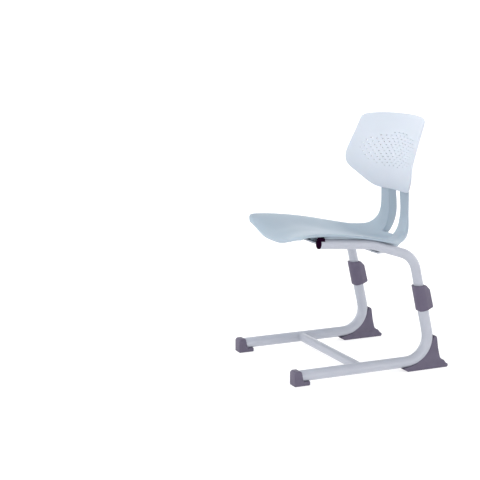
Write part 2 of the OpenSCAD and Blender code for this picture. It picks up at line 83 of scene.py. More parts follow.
@dataclass(frozen=True)
class LegLine:
    """The line that both tubes of a leg share, in millimetres, in the plane of its side."""

    side_x: float = 190.0
    corner_y: float = 206.0
    corner_z: float = 26.0
    lean: float = math.radians(13.0)
    lower_r: float = 16.0
    upper_r: float = 14.0
    top: float = 218.0
    fit: float = 0.05
    screw_up: tuple[float, float] = (173.0, 201.0)

    @property
    def upward(self) -> Vector:
        """The direction up the leg."""
        return Vector((0.0, -math.sin(self.lean), math.cos(self.lean)))

    @property
    def rearward(self) -> Vector:
        """The direction straight out of the leg's back."""
        return Vector((0.0, math.cos(self.lean), math.sin(self.lean)))

    def point(self, up: float, behind: float = 0.0) -> Vector:
        """A point by the leg.

        Args:
            up: Distance up the leg from the floor corner.
            behind: Distance behind the leg's axis.

        Returns:
            The point on the left side of the chair, in metres.
        """
        y = self.corner_y - up * math.sin(self.lean) + behind * math.cos(self.lean)
        z = self.corner_z + up * math.cos(self.lean) + behind * math.sin(self.lean)
        return Vector((self.side_x, y, z)) * MM

    def place(self, up: float) -> Matrix:
        """Where a piece modelled upright at the origin stands on the left leg."""
        return Matrix.Translation(self.point(up)) @ Matrix.Rotation(self.lean, 4, "X")


@dataclass(frozen=True)
class BackFixing:
    """Where four screws join the back panel to the spine, in millimetres."""

    x: float = 56.0
    z: tuple[float, float] = (532.0, 612.0)


LEG = LegLine()
BACK_FIXING = BackFixing()
ACROSS = Vector((1.0, 0.0, 0.0))
BACKWARD = Vector((0.0, 1.0, 0.0))


# ---------------------------------------------------------------- the workbench


def ease(a: float, b: float, x: float) -> float:
    """A smooth step from 0 at a to 1 at b."""
    t = min(1.0, max(0.0, (x - a) / (b - a)))
    return t * t * (3.0 - 2.0 * t)


def along(values: Sequence[float], s: float) -> float:
    """A smooth curve through evenly spaced values.

    Args:
        values: The values that the curve passes through.
        s: The place to read it at, where a whole number is a value's own place.

    Returns:
        The curve's value.
    """
    last = len(values) - 1
    i = min(last - 1, max(0, math.floor(s)))
    t = s - i
    p1, p2 = values[i], values[i + 1]
    p0 = values[i - 1] if i > 0 else 2 * p1 - p2
    p3 = values[i + 2] if i < last - 1 else 2 * p2 - p1
    bend = 2 * p0 - 5 * p1 + 4 * p2 - p3
    return 0.5 * (2 * p1 + (p2 - p0) * t + bend * t * t + (3 * p1 - p0 - 3 * p2 + p3) * t**3)


def rail(points: Sequence[Point], s: float) -> Vector:
    """A smooth curve through points of the side plane, as (back, up)."""
    return Vector((along([p[0] for p in points], s), along([p[1] for p in points], s)))


def deselect_all() -> None:
    """Leave nothing selected."""
    if bpy.context.mode != "OBJECT":
        bpy.ops.object.mode_set(mode="OBJECT")
    bpy.ops.object.select_all(action="DESELECT")


def take(piece: bpy.types.Object) -> None:
    """Make a piece the only selected one and the active one.

    Args:
        piece: The piece to work on.
    """
    deselect_all()
    piece.select_set(True)
    bpy.context.view_layer.objects.active = piece


def named(name: str) -> bpy.types.Object:
    """Name the primitive or the copy that was just added.

    Args:
        name: The name for the object and its mesh.

    Returns:
        The named piece.
    """
    piece = bpy.context.active_object
    piece.name = piece.data.name = name
    return piece


def edit(piece: bpy.types.Object, mode: Pick = Pick.FACES) -> bmesh.types.BMesh:
    """Open a piece for editing with nothing selected.

    Args:
        piece: The piece to edit.
        mode: What is going to be picked.

    Returns:
        The piece's mesh as it is being edited.
    """
    take(piece)
    bpy.ops.object.mode_set(mode="EDIT")
    bpy.ops.mesh.select_mode(type=mode.value)
    bpy.ops.mesh.select_all(action="DESELECT")
    return bmesh.from_edit_mesh(piece.data)


def done(piece: bpy.types.Object) -> None:
    """Close a piece that was open for editing."""
    bmesh.update_edit_mesh(piece.data)
    bpy.ops.object.mode_set(mode="OBJECT")


def pick(piece: bpy.types.Object, mode: Pick, wanted: Callable[..., bool]) -> int:
    """Select what is wanted of a piece that is open for editing.

    Args:
        piece: The piece.
        mode: Whether its edges or its faces are picked.
        wanted: Says of one edge or face whether it is wanted.

    Returns:
        How many were picked.
    """
    mesh = bmesh.from_edit_mesh(piece.data)
    parts = mesh.edges if mode is Pick.EDGES else mesh.faces
    chosen = [part for part in parts if wanted(part)]
    for part in chosen:
        part.select_set(True)
    bmesh.update_edit_mesh(piece.data)
    return len(chosen)


def extrude(move: Vector) -> None:
    """Extrude what is selected of the piece open for editing."""
    bpy.ops.mesh.extrude_region_move(TRANSFORM_OT_translate={"value": move})


def is_sharp(edge: bmesh.types.BMEdge, degrees: float = 40.0) -> bool:
    """Whether the two faces at an edge meet at more than an angle."""
    return edge.is_manifold and edge.calc_face_angle(0.0) > math.radians(degrees)


def shape(piece: bpy.types.Object, move: Callable[[Vector], Vector]) -> None:
    """Move every corner of a piece to where it belongs.

    Args:
        piece: The piece.
        move: Gives a corner's new place from its old one.
    """
    mesh = edit(piece, Pick.CORNERS)
    for vert in mesh.verts:
        vert.co = move(vert.co.copy())
    done(piece)


def finish_modifier(piece: bpy.types.Object, kind: str, **settings: object) -> None:
    """Add a modifier and apply it.

    Args:
        piece: The piece that is finished.
        kind: The modifier's type.
        settings: The modifier's own settings.
    """
    take(piece)
    modifier = piece.modifiers.new(kind.title(), kind)
    for key, value in settings.items():
        setattr(modifier, key, value)
    bpy.ops.object.modifier_apply(modifier=modifier.name)


def carve(piece: bpy.types.Object, cutter: bpy.types.Object) -> None:
    """Cut one piece with another, which is used up."""
    finish_modifier(piece, "BOOLEAN", object=cutter, operation="DIFFERENCE", solver="EXACT")
    bpy.data.objects.remove(cutter)


def join(piece: bpy.types.Object, others: Iterable[bpy.types.Object]) -> None:
    """Join other pieces into one.

    Args:
        piece: The piece that takes them in and keeps its name.
        others: The pieces that are used up.
    """
    take(piece)
    for other in others:
        other.select_set(True)
    bpy.ops.object.join()


def settle(piece: bpy.types.Object, place: Matrix | None = None) -> None:
    """Put a piece's place into its mesh, so that its object sits at the origin.

    Args:
        piece: The piece.
        place: Where it is moved to first, if anywhere.
    """
    take(piece)
    if place is not None:
        piece.matrix_world = place @ piece.matrix_world
    bpy.ops.object.transform_apply(location=True, rotation=True, scale=True)


def outward(piece: bpy.types.Object) -> None:
    """Merge a piece's doubles and turn its faces outwards.

    Args:
        piece: The piece.
    """
    edit(piece, Pick.CORNERS)
    bpy.ops.mesh.select_all(action="SELECT")
    bpy.ops.mesh.remove_doubles(threshold=MERGE_MM * MM)
    bpy.ops.mesh.normals_make_consistent(inside=False)
    done(piece)


def smooth(piece: bpy.types.Object, degrees: float = 32.0) -> None:
    """Shade a piece smooth, but for edges sharper than an angle."""
    take(piece)
    bpy.ops.object.shade_smooth_by_angle(angle=math.radians(degrees))


def mirror(piece: bpy.types.Object) -> None:
    """Turn a left piece into its right one.

    Args:
        piece: The piece, which is already settled.
    """
    piece.scale.x = -1.0
    settle(piece)
    outward(piece)


def other_side(piece: bpy.types.Object) -> bpy.types.Object:
    """A mirrored copy of a left piece, with its own mesh and the right side's name.

    Args:
        piece: The left piece.

    Returns:
        The right piece.
    """
    take(piece)
    bpy.ops.object.duplicate(linked=False)
    twin = named(piece.name.replace(Side.LEFT.word, Side.RIGHT.word, 1))
    mirror(twin)
    return twin


def cylinder(
    name: str, radius: float, depth: float, place: Matrix, sides: int = 48
) -> bpy.types.Object:
    """A round bar that starts at its place and runs along its own Z.

    Args:
        name: The piece's name.
        radius: Its radius in millimetres.
        depth: Its length in millimetres.
        place: Where its foot stands.
        sides: How many flats it has.

    Returns:
        The bar.
    """
    deselect_all()
    bpy.ops.mesh.primitive_cylinder_add(
        vertices=sides, radius=radius * MM, depth=depth * MM, location=(0, 0, depth * MM / 2)
    )
    piece = named(name)
    settle(piece, place)
    return piece


def towards(start: Vector, direction: Vector) -> Matrix:
    """The place at start, in metres, whose Z points along a direction."""
    turn = direction.to_track_quat("Z", "Y").to_matrix().to_4x4()
    return Matrix.Translation(start) @ turn


def slab(name: str, outline: Sequence[Point], near_x: float, far_x: float) -> bpy.types.Object:
    """A slab whose side view is an outline, started from a disc with a corner for each point.

    Args:
        name: The piece's name.
        outline: Points (back, up) in millimetres, in order.
        near_x: X of one face, in millimetres.
        far_x: X of the other face, in millimetres.

    Returns:
        The slab.
    """
    deselect_all()
    bpy.ops.mesh.primitive_circle_add(vertices=len(outline), radius=1.0, fill_type="NGON")
    piece = named(name)
    mesh = edit(piece)
    for vert, (back, up) in zip(list(mesh.verts), outline):
        vert.co = Vector((near_x, back, up)) * MM
    bmesh.update_edit_mesh(piece.data)
    bpy.ops.mesh.select_all(action="SELECT")
    extrude(ACROSS * (far_x - near_x) * MM)
    done(piece)
    outward(piece)
    return piece


def round_edges(piece: bpy.types.Object, radius: float, segments: int, degrees: float) -> None:
    """Round a piece's sharp edges.

    Args:
        piece: The piece.
        radius: The rounding's radius in millimetres.
        segments: How many flats the rounding has.
        degrees: The angle past which an edge counts as sharp.
    """
    finish_modifier(
        piece, "BEVEL", width=radius * MM, segments=segments, limit_method="ANGLE",
        angle_limit=math.radians(degrees), use_clamp_overlap=True, miter_outer="MITER_ARC",
    )


def arc(centre: Point, radius: float, start: float, end: float, steps: int) -> list[Point]:
    """Points on a round corner, from one angle in degrees to another."""
    turns = [math.radians(start + (end - start) * i / steps) for i in range(steps + 1)]
    return [(centre[0] + radius * math.cos(a), centre[1] + radius * math.sin(a)) for a in turns]


# ---------------------------------------------------------------- finishes


def linear(red: int, green: int, blue: int) -> Colour:
    """A colour of a paint chart as the linear values that materials take.

    Args:
        red: Red, from 0 to 255.
        green: Green, from 0 to 255.
        blue: Blue, from 0 to 255.

    Returns:
        The colour's three linear values.
    """

    def one(value: int) -> float:
        """One channel, made linear."""
        v = value / 255.0
        return v / 12.92 if v <= 0.04045 else ((v + 0.055) / 1.055) ** 2.4

    return one(red), one(green), one(blue)


@dataclass(frozen=True)
class Finish:
    """A surface finish: two close colours in slow patches, a fine grain, and its gloss."""

    name: str
    slot: str
    light: Colour
    dark: Colour
    patch_mm: float
    grain_mm: float
    grain_depth_mm: float
    gloss_from: float
    gloss_to: float
    metallic: float = 0.0
    coat: float = 0.0
    subsurface: float = 0.0
    shine: float = 0.5
    coat_roughness: float = 0.18
    glow_through_mm: float = 4.0
    patch_edges: Point = (0.3, 0.7)
    bump: float = 0.6

    def material(self) -> bpy.types.Material:
        """Build the finish as a node material.

        Returns:
            The material.
        """
        made = bpy.data.materials.new(self.name)
        made.use_nodes = True
        made.diffuse_color = (*self.light, 1.0)
        nodes, links = made.node_tree.nodes, made.node_tree.links
        shader = nodes["Principled BSDF"]
        shader.inputs["Metallic"].default_value = self.metallic
        shader.inputs["Specular IOR Level"].default_value = self.shine
        shader.inputs["Coat Weight"].default_value = self.coat
        shader.inputs["Coat Roughness"].default_value = self.coat_roughness
        shader.inputs["Subsurface Weight"].default_value = self.subsurface
        shader.inputs["Subsurface Scale"].default_value = self.glow_through_mm * MM
        place = nodes.new("ShaderNodeTexCoord")

        patches = nodes.new("ShaderNodeTexNoise")
        patches.inputs["Scale"].default_value = 1000.0 / self.patch_mm
        patches.inputs["Detail"].default_value = 3.0
        links.new(place.outputs["Object"], patches.inputs["Vector"])
        tones = nodes.new("ShaderNodeValToRGB")
        steps = zip(tones.color_ramp.elements, self.patch_edges, (self.dark, self.light))
        for step, position, colour in steps:
            step.position = position
            step.color = (*colour, 1.0)
        links.new(patches.outputs["Fac"], tones.inputs["Fac"])
        links.new(tones.outputs["Color"], shader.inputs["Base Color"])

        grain = nodes.new("ShaderNodeTexNoise")
        grain.inputs["Scale"].default_value = 1000.0 / self.grain_mm
        grain.inputs["Detail"].default_value = 2.0
        links.new(place.outputs["Object"], grain.inputs["Vector"])
        gloss = nodes.new("ShaderNodeMapRange")
        gloss.inputs["To Min"].default_value = self.gloss_from
        gloss.inputs["To Max"].default_value = self.gloss_to
        links.new(grain.outputs["Fac"], gloss.inputs["Value"])
        links.new(gloss.outputs["Result"], shader.inputs["Roughness"])
        bump = nodes.new("ShaderNodeBump")
        bump.inputs["Strength"].default_value = self.bump
        bump.inputs["Distance"].default_value = self.grain_depth_mm * MM
        links.new(grain.outputs["Fac"], bump.inputs["Height"])
        links.new(bump.outputs["Normal"], shader.inputs["Normal"])
        return made


SEAT_PLASTIC = Finish(
    "seat_plastic", "seat_plastic", linear(151, 165, 177), linear(147, 161, 174),
    patch_mm=90, grain_mm=0.9, grain_depth_mm=0.05, gloss_from=0.5, gloss_to=0.6, subsurface=0.05,
)
PANEL_PLASTIC = Finish(
    "panel_plastic", "panel_plastic", linear(193, 199, 209), linear(189, 196, 206),
    patch_mm=120, grain_mm=0.9, grain_depth_mm=0.05, gloss_from=0.5, gloss_to=0.62, subsurface=0.06,
)
FRAME_PAINT = Finish(
    "painted_steel", "painted_steel", linear(168, 171, 181), linear(164, 167, 178),
    patch_mm=60, grain_mm=1.6, grain_depth_mm=0.06, gloss_from=0.34, gloss_to=0.46, coat=0.15,
)
CAP_PLASTIC = Finish(
    "cap_plastic", "cap_plastic", linear(30, 7, 29), linear(25, 6, 24),
    patch_mm=12, grain_mm=0.8, grain_depth_mm=0.03, gloss_from=0.4, gloss_to=0.52, shine=0.0,
)
SLEEVE_PLASTIC = Finish(
    "sleeve_plastic", "sleeve_plastic", linear(92, 85, 104), linear(87, 80, 99),
    patch_mm=30, grain_mm=0.9, grain_depth_mm=0.06, gloss_from=0.42, gloss_to=0.55, shine=0.3,
)
FOOT_PLASTIC = Finish(
    "foot_plastic", "foot_plastic", linear(92, 86, 104), linear(86, 80, 98),
    patch_mm=25, grain_mm=0.9, grain_depth_mm=0.06, gloss_from=0.45, gloss_to=0.6, shine=0.3,
)
ZINC = Finish(
    "zinc_plate", "zinc_hardware", linear(196, 198, 200), linear(172, 175, 180),
    patch_mm=5, grain_mm=0.35, grain_depth_mm=0.008, gloss_from=0.24, gloss_to=0.4, metallic=1.0,
)
BRASS = Finish(
    "brass", "brass_insert", linear(206, 172, 98), linear(186, 150, 80),
    patch_mm=4, grain_mm=0.3, grain_depth_mm=0.01, gloss_from=0.25, gloss_to=0.4, metallic=1.0,
)


@dataclass
class PaintShop:
    """Makes each finish once, and dresses pieces and CAD nodes with it."""

    made: dict[str, bpy.types.Material]

    def material(self, finish: Finish) -> bpy.types.Material:
        """The finish's material, made the first time that it is asked for.

        Args:
            finish: The finish.

        Returns:
            Its material.
        """
        if finish.name not in self.made:
            self.made[finish.name] = finish.material()
        return self.made[finish.name]

    def coat(self, piece: bpy.types.Object, finish: Finish) -> None:
        """Give a piece one finish all over."""
        piece.data.materials.clear()
        piece.data.materials.append(self.material(finish))

    def hand_over(
        self, piece: bpy.types.Object, finish: Finish, body: Body, replaced: Sequence[str] = ()
    ) -> None:
        """Finish a new piece and tie it to its body.

        Args:
            piece: The new piece.
            finish: Its finish.
            body: The body that it moves with.
            replaced: The CAD nodes that it stands for.
        """
        self.coat(piece, finish)
        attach(piece, body.value)
        if replaced:
            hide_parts(*replaced)
        LOG.info("%s: %d faces on %s", piece.name, len(piece.data.polygons), body.value)

    def hand_over_pair(self, left: bpy.types.Object, finish: Finish, node: str) -> None:
        """Mirror a left piece of the floor frame for the right side, and hand both over.

        Args:
            left: The left piece.
            finish: The finish of both.
            node: The name, after its side, of the CAD node that each stands for.
        """
        right = other_side(left)
        smooth(right, 30.0)
        for piece, side in ((left, Side.LEFT), (right, Side.RIGHT)):
            self.hand_over(piece, finish, Body.FLOOR, [f"{side.word}_{node}"])

    def repaint(self, nodes: Sequence[str], finish: Finish) -> None:
        """Give CAD nodes a finish.

        Args:
            nodes: The nodes' names.
            finish: Their finish.
        """
        for node in nodes:
            self.coat(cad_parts[node], finish)
            LOG.info("%s: %s", node, finish.name)


# ---------------------------------------------------------------- seat moulding


@dataclass
class SeatMoulding:
    """The seat and the spine in one moulding: a top skin and an underside hung on rails.

    Lengths are in millimetres. The rails run from the front lip, over the seat and up the
    spine: the middle of the top, the middle of the underside, and both corners of the edge.
    """

    top: tuple[Point, ...] = (
        (-226, 383), (-220, 391), (-196, 402), (-150, 409), (-100, 404.5), (-50, 395), (0, 384),
        (50, 374), (100, 366), (140, 365), (162, 377), (176, 398), (182, 425), (183.5, 456),
        (180, 500), (177, 560), (181, 605), (192, 645),
    )
    under: tuple[Point, ...] = (
        (-225, 379), (-216, 380.5), (-194, 388), (-150, 397), (-100, 389), (-50, 375), (0, 363.5),
        (50, 354), (100, 349), (138, 352), (170, 361), (191, 380), (206, 412), (211, 448),
        (207, 500), (201.5, 560), (202, 605), (206, 645),
    )
    edge_top: tuple[Point, ...] = (
        (-220, 412.5), (-212.5, 424), (-196, 427.5), (-148, 425), (-100, 420), (-50, 413), (0, 404),
        (40, 395.5), (72, 390), (105, 387), (139, 388.5), (159, 395), (174.5, 415), (180.5, 446),
        (180.5, 500), (178.5, 560), (182.5, 605), (193, 645),
    )
    edge_under: tuple[Point, ...] = (
        (-219.5, 408.5), (-211, 416.5), (-194, 419), (-148, 418.5), (-100, 413.5), (-50, 405),
        (0, 395), (40, 386), (72, 377), (105, 371), (138, 372), (162, 382), (179.5, 412),
        (185, 444), (185, 500), (183.5, 560), (188, 605), (198, 645),
    )
    half_widths: tuple[float, ...] = (
        170, 190, 203.5, 205, 205, 205, 205, 204, 188, 143, 117, 102, 87, 78, 77, 77, 78, 68,
    )
    arches: tuple[float, ...] = (0, 0, 0, 0, 0, 1.5, 4.5, 3, 0, 0, 0, 0, 0, 0, 0, 0, 0, 0)
    dish_from: tuple[float, ...] = (
        0.16, 0.14, 0.1, 0.12, 0.2, 0.22, 0.22, 0.22, 0.22, 0.2, 0.2, 0.2, 0.2, 0.3, 0.3, 0.3, 0.3,
        0.3,
    )
    dish_to: tuple[float, ...] = (
        1.14, 1.11, 1.05, 0.98, 0.93, 0.92, 0.92, 0.92, 0.92, 0.95, 1, 1, 1, 1, 1, 1, 1, 1,
    )
    belly_from: tuple[float, ...] = (
        0.16, 0.14, 0.2, 0.45, 0.55, 0.6, 0.64, 0.64, 0.64, 0.56, 0.5, 0.45, 0.4, 0.36, 0.36, 0.36,
        0.36, 0.36,
    )
    belly_to: tuple[float, ...] = (
        1.14, 1.11, 0.95, 0.87, 0.86, 0.86, 0.86, 0.86, 0.92, 0.98, 1, 1, 1, 1, 1, 1, 1, 1,
    )
    arch_band: tuple[float, float, float] = (0.8, 0.89, 0.95)
    columns: int = 40
    rows: int = 76
    crowding: float = 1.25

    # The slot between the straps. Places along it are counted in points of the rails.
    slot_half: float = 31.0
    slot_corner: float = 12.0
    slot_column: int = 6
    slot_foot: float = 9.93
    slot_top: float = 15.13
    slot_top_z: float = 566.0
    slot_pull: Point = (1.3, 0.05)
    lag: float = 0.57
    lag_from: float = 6.0
    lag_to: float = 13.0
    rim_z: Point = (355.0, 570.0)
    rim_front_y: float = 150.0
    rim_margin: float = 3.0
    rim_bevel: float = 1.1

    # The bosses and the vent underneath, and the screw heads' bores behind.
    screw_x: float = 95.0
    screw_y: tuple[float, float] = (-140.0, 55.0)
    boss_foot: tuple[float, float] = (391.5, 350.0)
    boss_radius: float = 9.0
    boss_height: float = 10.0
    boss_wall: float = 4.5
    boss_bore: float = 9.0
    vent_radius: float = 4.0
    vent_foot: float = 342.0
    vent_depth: float = 28.0
    back_head_y: tuple[float, float] = (190.0, 191.5)
    back_bore_radius: float = 6.0
    back_bore_depth: float = 30.0

    def station(self, v: float) -> float:
        """The place along the rails of a row, with rows at both ends of the slot.

        Args:
            v: The row's place in the flat block, from 0 to 1.

        Returns:
            The place along the rails.
        """
        last = len(self.top) - 1
        foot_row = round(self.slot_foot / last * self.rows)
        top_row = round(self.slot_top / last * self.rows)
        knots = [(0, 0.0), (foot_row, self.slot_foot), (top_row, self.slot_top), (self.rows, last)]
        row = v * self.rows
        for (r0, s0), (r1, s1) in zip(knots, knots[1:]):
            if row <= r1 + 1e-6:
                return s0 + (s1 - s0) * (row - r0) / (r1 - r0)
        return float(last)

    def slot_width_at(self, z: float) -> float:
        """Half the slot's width at a height, narrower in its round top corners."""
        into = min(self.slot_corner, max(0.0, z - (self.slot_top_z - self.slot_corner)))
        return self.slot_half - self.slot_corner + math.sqrt(self.slot_corner**2 - into**2)

    def across(self, u: float, s: float) -> float:
        """How far across the half width a column runs; one column follows the slot's side.

        Args:
            u: The column's place in the flat block, from -1 to 1.
            s: The place along the rails.

        Returns:
            The place across, from -1 to 1.
        """

        def spread(t: float) -> float:
            """Columns, closer together near the rim."""
            return t * (self.crowding - (self.crowding - 1.0) * t * t)

        q = spread(abs(u))
        own = spread(self.slot_column / (self.columns / 2))
        slot = self.slot_width_at(rail(self.top, s).y) / along(self.half_widths, s)
        pulled = q * slot / own if q <= own else 1 - (1 - q) * (1 - slot) / (1 - own)
        start, end = (self.slot_foot - ahead for ahead in self.slot_pull)
        q += (pulled - q) * ease(start, end, s)
        return math.copysign(q, u)

    def top_point(self, u: float, s: float) -> Vector:
        """A point of the top skin and the spine's front.

        Args:
            u: The column, from -1 to 1.
            s: The place along the rails.

        Returns:
            The point in metres.
        """
        q = self.across(u, s)
        k = ease(along(self.dish_from, s), along(self.dish_to, s), abs(q))
        p = rail(self.top, s).lerp(rail(self.edge_top, s), k)
        return Vector((q * along(self.half_widths, s), p.x, p.y)) * MM

    def under_point(self, u: float, s: float) -> Vector:
        """A point of the underside and the spine's back, which lags at the slot's foot.

        Args:
            u: The column, from -1 to 1.
            s: The place along the rails.

        Returns:
            The point in metres.
        """
        q = self.across(u, s)
        half = along(self.half_widths, s)
        rising, falling = ease(self.lag_from, self.slot_foot, s), ease(self.slot_foot, self.lag_to, s)
        s += self.lag * rising * (1 - falling)
        k = ease(along(self.belly_from, s), along(self.belly_to, s), abs(q))
        p = rail(self.under, s).lerp(rail(self.edge_under, s), k)
        rise, full, fall = self.arch_band
        arch = along(self.arches, s) * ease(rise, full, abs(q)) * (1 - ease(fall, 1.0, abs(q)))
        return Vector((q * half, p.x, p.y + arch)) * MM

    def in_slot(self, face: bmesh.types.BMFace) -> bool:
        """Whether a face of the unshaped block lies over the slot.

        Args:
            face: A face of the top or the bottom of the block.

        Returns:
            Whether the slot opens it.
        """
        centre = face.calc_center_median()
        if abs(face.normal.z) < 0.5:
            return False
        s = self.station(centre.y + 0.5)
        return abs(centre.x) < self.slot_column / self.columns and self.slot_foot < s < self.slot_top

    def build(self) -> bpy.types.Object:
        """Model the moulding from a grid: thicken it, open the slot, then hang it on the rails.

        Returns:
            The seat moulding.
        """
        deselect_all()
        bpy.ops.mesh.primitive_grid_add(
            x_subdivisions=self.columns, y_subdivisions=self.rows, size=1.0
        )
        piece = named("seat_moulding")
        edit(piece)
        bpy.ops.mesh.select_all(action="SELECT")
        extrude(Vector((0.0, 0.0, 1.0)))
        bpy.ops.mesh.select_all(action="SELECT")
        bpy.ops.mesh.normals_make_consistent(inside=False)
        bpy.ops.mesh.select_all(action="DESELECT")
        LOG.info("slot faces: %d", pick(piece, Pick.FACES, self.in_slot))
        bpy.ops.mesh.bridge_edge_loops()
        done(piece)
        shape(piece, self.hang)
        self.round_slot(piece)
        finish_modifier(piece, "SUBSURF", levels=1, render_levels=1)
        outward(piece)
        self.bore_back_screws(piece)
        self.add_bosses(piece)
        smooth(piece, 48.0)
        return piece

    def hang(self, co: Vector) -> Vector:
        """Where a corner of the block hangs on the rails."""
        s = self.station(co.y + 0.5)
        return self.top_point(2 * co.x, s) if co.z > 0.5 else self.under_point(2 * co.x, s)

    def round_slot(self, piece: bpy.types.Object) -> None:
        """Take the sharpness off the slot's rims.

        Args:
            piece: The moulding.
        """
        edit(piece, Pick.EDGES)
        count = pick(piece, Pick.EDGES, lambda edge: is_sharp(edge, 50.0) and self.by_slot(edge))
        LOG.info("slot rim edges: %d", count)
        bpy.ops.mesh.bevel(offset=self.rim_bevel * MM, segments=2, affect="EDGES")
        done(piece)

    def by_slot(self, edge: bmesh.types.BMEdge) -> bool:
        """Whether an edge runs round the slot and not along the spine's outer rim.

        Args:
            edge: An edge of the shaped moulding.

        Returns:
            Whether it is by the slot.
        """
        a, b = (vert.co for vert in edge.verts)
        low, high = self.rim_z
        inside = max(abs(a.x), abs(b.x)) < (self.slot_half + self.rim_margin) * MM
        level = min(a.z, b.z) > low * MM and max(a.z, b.z) < high * MM
        return inside and level and min(a.y, b.y) > self.rim_front_y * MM

    def bore_back_screws(self, piece: bpy.types.Object) -> None:
        """Sink the four screw heads into the spine's back.

        Args:
            piece: The moulding.
        """
        for z, y in zip(BACK_FIXING.z, self.back_head_y):
            for x in (-BACK_FIXING.x, BACK_FIXING.x):
                place = towards(Vector((x, y, z)) * MM, BACKWARD)
                carve(piece, cylinder("bore", self.back_bore_radius, self.back_bore_depth, place, 32))

    def add_bosses(self, piece: bpy.types.Object) -> None:
        """Set the four hollow screw bosses under the belly, and open the vent.

        Args:
            piece: The moulding.
        """
        bosses = []
        for y, foot in zip(self.screw_y, self.boss_foot):
            for x in (-self.screw_x, self.screw_x):
                place = Matrix.Translation(Vector((x, y, foot)) * MM)
                boss = cylinder("boss", self.boss_radius, self.boss_height, place, 40)
                edit(boss)
                pick(boss, Pick.FACES, lambda face: face.normal.z < -0.9)
                bpy.ops.mesh.inset(thickness=self.boss_wall * MM)
                extrude(Vector((0.0, 0.0, self.boss_bore * MM)))
                done(boss)
                round_edges(boss, 0.5, 2, 50)
                bosses.append(boss)
        place = Matrix.Translation(Vector((0, 0, self.vent_foot)) * MM)
        carve(piece, cylinder("vent", self.vent_radius, self.vent_depth, place, 32))
        join(piece, bosses)

    def dress(self, shop: PaintShop) -> None:
        """Build the moulding and hand it over."""
        shop.hand_over(self.build(), SEAT_PLASTIC, Body.SEAT, ["seat_shell"])


# ---------------------------------------------------------------- back panel


